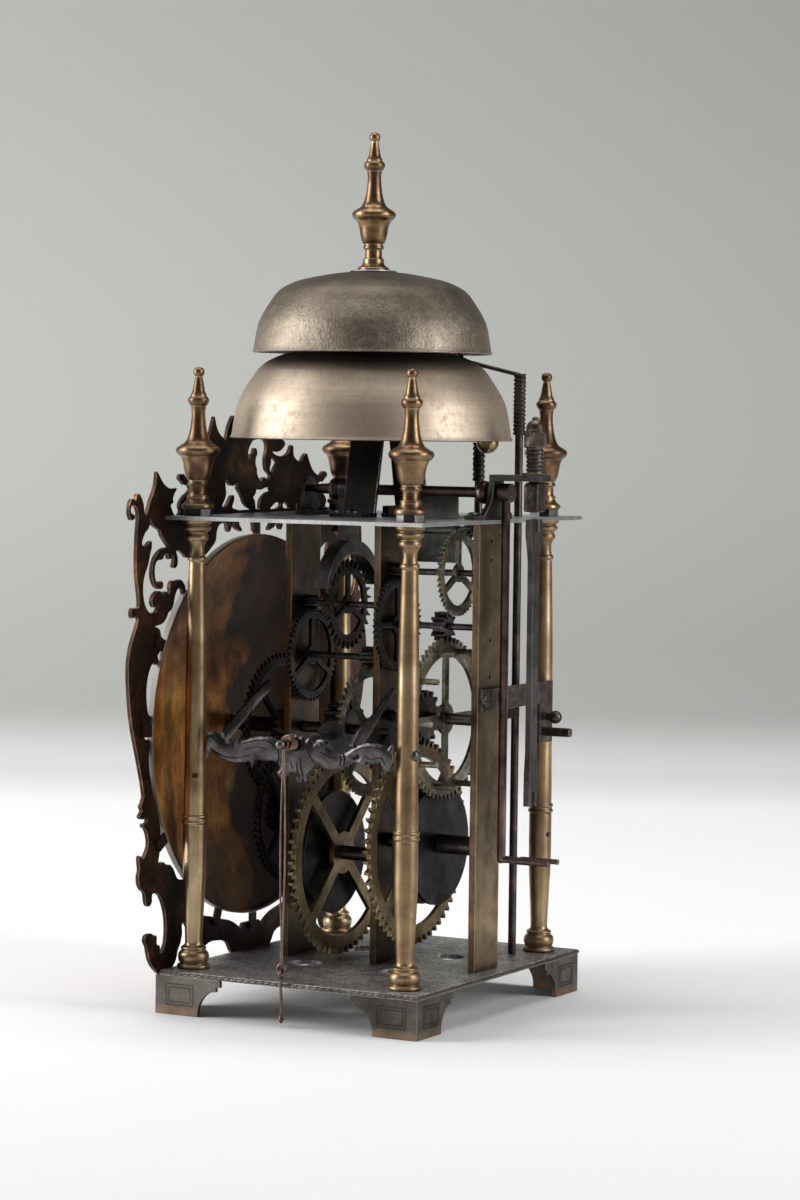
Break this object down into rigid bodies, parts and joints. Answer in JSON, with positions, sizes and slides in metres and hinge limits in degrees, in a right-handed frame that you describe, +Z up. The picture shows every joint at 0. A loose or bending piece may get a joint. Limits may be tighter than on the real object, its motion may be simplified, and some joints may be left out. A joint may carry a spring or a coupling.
{
  "type": "lantern clock",
  "caption": "Lantern clock with turned pillars, bracket feet, open trains side by side, a domed dial, a pierced fret, an anchor escapement and two bells.",
  "frame": {"origin": "on the floor under the middle of the clock's width and of its whole depth", "axes": "+Z up, +X to the right seen from the dial, -Y the way the dial faces"},
  "size_m": [0.1966, 0.164, 0.3657],
  "materials": {
    "dark_steel": "blackened, grainy",
    "bright_steel": "satin",
    "dark_plate": "dark patina with an engraved border",
    "pillar_brass": "polished with brown patina",
    "wheel_brass": "satin, aged",
    "dark_brass": "dark aged",
    "bar_brass": "dull, aged",
    "bell_metal": "satin, turned",
    "dark_bell_metal": "dark satin, grainy",
    "dial_brass": "burnished",
    "fret_brass": "dark patina",
    "coil_copper": "dull copper",
    "black_steel": "polished"
  },
  "bodies": {
    "frame": {"bottom_plate": "dark_plate", "bracket_feet": "dark_plate", "pillars": "pillar_brass", "pillar_nuts": "dark_steel", "finials": "pillar_brass", "top_plate": "bright_steel", "front_bar": "bar_brass", "middle_bar": "bar_brass", "back_bar": "bar_brass", "bar_pins": "dark_steel", "minute_post": "dark_steel", "front_cock": "dark_brass", "back_cock": "dark_brass", "suspension_stud": "dark_steel", "bell_strap": "black_steel", "bell_post": "dark_steel", "lower_bell": "bell_metal", "upper_bell": "dark_bell_metal", "bell_spacer": "dark_steel", "bell_finial": "pillar_brass", "dial": "dial_brass", "fret": "fret_brass", "bridge_plate": "bar_brass", "lever_cock": "dark_steel", "lever_post": "dark_steel", "lever_coil": "coil_copper", "frame_screws": "dark_steel"},
    "going_great": {"going_great_wheel": "wheel_brass", "going_great_arbor": "dark_steel"},
    "going_rope_pulley": {"going_pulley": "dark_brass"},
    "centre": {"centre_wheel": "dark_brass", "centre_arbor": "dark_steel", "minute_hand": "black_steel"},
    "third": {"third_wheel": "dark_brass", "third_arbor": "dark_steel"},
    "escape": {"escape_wheel": "dark_brass", "escape_arbor": "dark_steel"},
    "motion_minute": {"minute_wheel": "dark_brass"},
    "motion_hour": {"hour_wheel": "dark_brass", "hour_hand": "black_steel"},
    "strike_great": {"strike_great_wheel": "wheel_brass", "strike_great_arbor": "dark_steel"},
    "strike_rope_pulley": {"strike_pulley": "dark_brass"},
    "pin_train": {"pin_wheel": "wheel_brass", "pin_wheel_arbor": "dark_steel"},
    "strike_third": {"strike_third_wheel": "dark_brass", "strike_third_arbor": "dark_steel"},
    "warning": {"warning_wheel": "wheel_brass", "warning_arbor": "dark_steel"},
    "fly_vane": {"fly": "dark_brass"},
    "pallets": {"anchor": "dark_steel", "pallet_arbor": "dark_steel", "crutch": "coil_copper"},
    "pendulum": {"pendulum_bar": "dark_steel", "suspension_spring": "bright_steel"},
    "high_bell_hammer": {"high_hammer": "dark_steel"},
    "low_bell_hammer": {"low_hammer": "dark_steel"},
    "lifting_lever": {"scroll_lever": "dark_steel"},
    "upper_pull": {"pull_wire": "bright_steel"},
    "lower_pull": {"pull_tail": "bright_steel"}
  },
  "joints": [
    {"name": "centre_spin", "type": "hinge", "parent": "frame", "child": "centre", "pos_m": [0, -0.004, 0.1149], "axis": [0, 1, 0], "continuous": true},
    {"name": "going_great_spin", "type": "hinge", "parent": "frame", "child": "going_great", "pos_m": [0, -0.004, 0.0624], "axis": [0, 1, 0], "continuous": true},
    {"name": "third_spin", "type": "hinge", "parent": "frame", "child": "third", "pos_m": [0, -0.004, 0.1459], "axis": [0, 1, 0], "continuous": true},
    {"name": "escape_spin", "type": "hinge", "parent": "frame", "child": "escape", "pos_m": [0, -0.004, 0.1679], "axis": [0, 1, 0], "continuous": true},
    {"name": "motion_minute_spin", "type": "hinge", "parent": "frame", "child": "motion_minute", "pos_m": [0, -0.004, 0.0774], "axis": [0, 1, 0], "continuous": true},
    {"name": "motion_hour_spin", "type": "hinge", "parent": "frame", "child": "motion_hour", "pos_m": [0, -0.004, 0.1149], "axis": [0, 1, 0], "continuous": true},
    {"name": "pin_train_spin", "type": "hinge", "parent": "frame", "child": "pin_train", "pos_m": [0, -0.004, 0.1219], "axis": [0, 1, 0], "continuous": true},
    {"name": "strike_great_spin", "type": "hinge", "parent": "frame", "child": "strike_great", "pos_m": [0, -0.004, 0.0694], "axis": [0, 1, 0], "continuous": true},
    {"name": "strike_third_spin", "type": "hinge", "parent": "frame", "child": "strike_third", "pos_m": [0, -0.004, 0.1604], "axis": [0, 1, 0], "continuous": true},
    {"name": "warning_spin", "type": "hinge", "parent": "frame", "child": "warning", "pos_m": [0, -0.004, 0.1828], "axis": [0, 1, 0], "continuous": true},
    {"name": "fly_spin", "type": "hinge", "parent": "frame", "child": "fly_vane", "pos_m": [-0.009, -0.004, 0.20052], "axis": [0, 1, 0], "continuous": true},
    {"name": "going_rope_pulley_spin", "type": "hinge", "parent": "going_great", "child": "going_rope_pulley", "pos_m": [0, -0.004, 0.0624], "axis": [0, 1, 0], "continuous": true},
    {"name": "strike_rope_pulley_spin", "type": "hinge", "parent": "strike_great", "child": "strike_rope_pulley", "pos_m": [0, -0.004, 0.0694], "axis": [0, 1, 0], "continuous": true},
    {"name": "pendulum_swing", "type": "hinge", "parent": "frame", "child": "pendulum", "pos_m": [0, 0.071, 0.2165], "axis": [0, 1, 0], "range_deg": [-1.5, 1.5]},
    {"name": "pallet_rock", "type": "hinge", "parent": "frame", "child": "pallets", "pos_m": [0, -0.004, 0.2165], "axis": [0, 1, 0], "range_deg": [-1.5, 1.5]},
    {"name": "high_hammer_turn", "type": "hinge", "parent": "frame", "child": "high_bell_hammer", "pos_m": [-0.046, 0.0402, 0], "axis": [0, 0, 1], "range_deg": [0, 8], "stiffness_Nm_per_rad": 0.01},
    {"name": "low_hammer_turn", "type": "hinge", "parent": "frame", "child": "low_bell_hammer", "pos_m": [-0.049, 0.0195, 0], "axis": [0, 0, 1], "range_deg": [-15, 0], "stiffness_Nm_per_rad": 0.01},
    {"name": "lever_tilt", "type": "hinge", "parent": "frame", "child": "lifting_lever", "pos_m": [0.0662, -0.003, 0.115], "axis": [1, 0, 0], "range_deg": [-3, 6], "stiffness_Nm_per_rad": 0.05},
    {"name": "pull_wire_swing", "type": "hinge", "parent": "frame", "child": "upper_pull", "pos_m": [0.0744, -0.003, 0.115], "axis": [1, 0, 0], "range_deg": [-4, 4]},
    {"name": "pull_tail_swing", "type": "hinge", "parent": "upper_pull", "child": "lower_pull", "pos_m": [0.0744, -0.003, 0.0217], "axis": [0, 1, 0], "range_deg": [-7, 7]}
  ],
  "couplings": [
    {"joint": "going_great_spin", "follows": "centre_spin", "ratio": -0.25},
    {"joint": "third_spin", "follows": "centre_spin", "ratio": -6.75},
    {"joint": "escape_spin", "follows": "centre_spin", "ratio": 46.286},
    {"joint": "motion_minute_spin", "follows": "centre_spin", "ratio": -0.33333},
    {"joint": "motion_hour_spin", "follows": "centre_spin", "ratio": 0.083333},
    {"joint": "strike_great_spin", "follows": "pin_train_spin", "ratio": -0.25},
    {"joint": "strike_third_spin", "follows": "pin_train_spin", "ratio": -6},
    {"joint": "warning_spin", "follows": "pin_train_spin", "ratio": 36},
    {"joint": "fly_spin", "follows": "pin_train_spin", "ratio": -236.57},
    {"joint": "pallet_rock", "follows": "pendulum_swing", "ratio": 1}
  ]
}
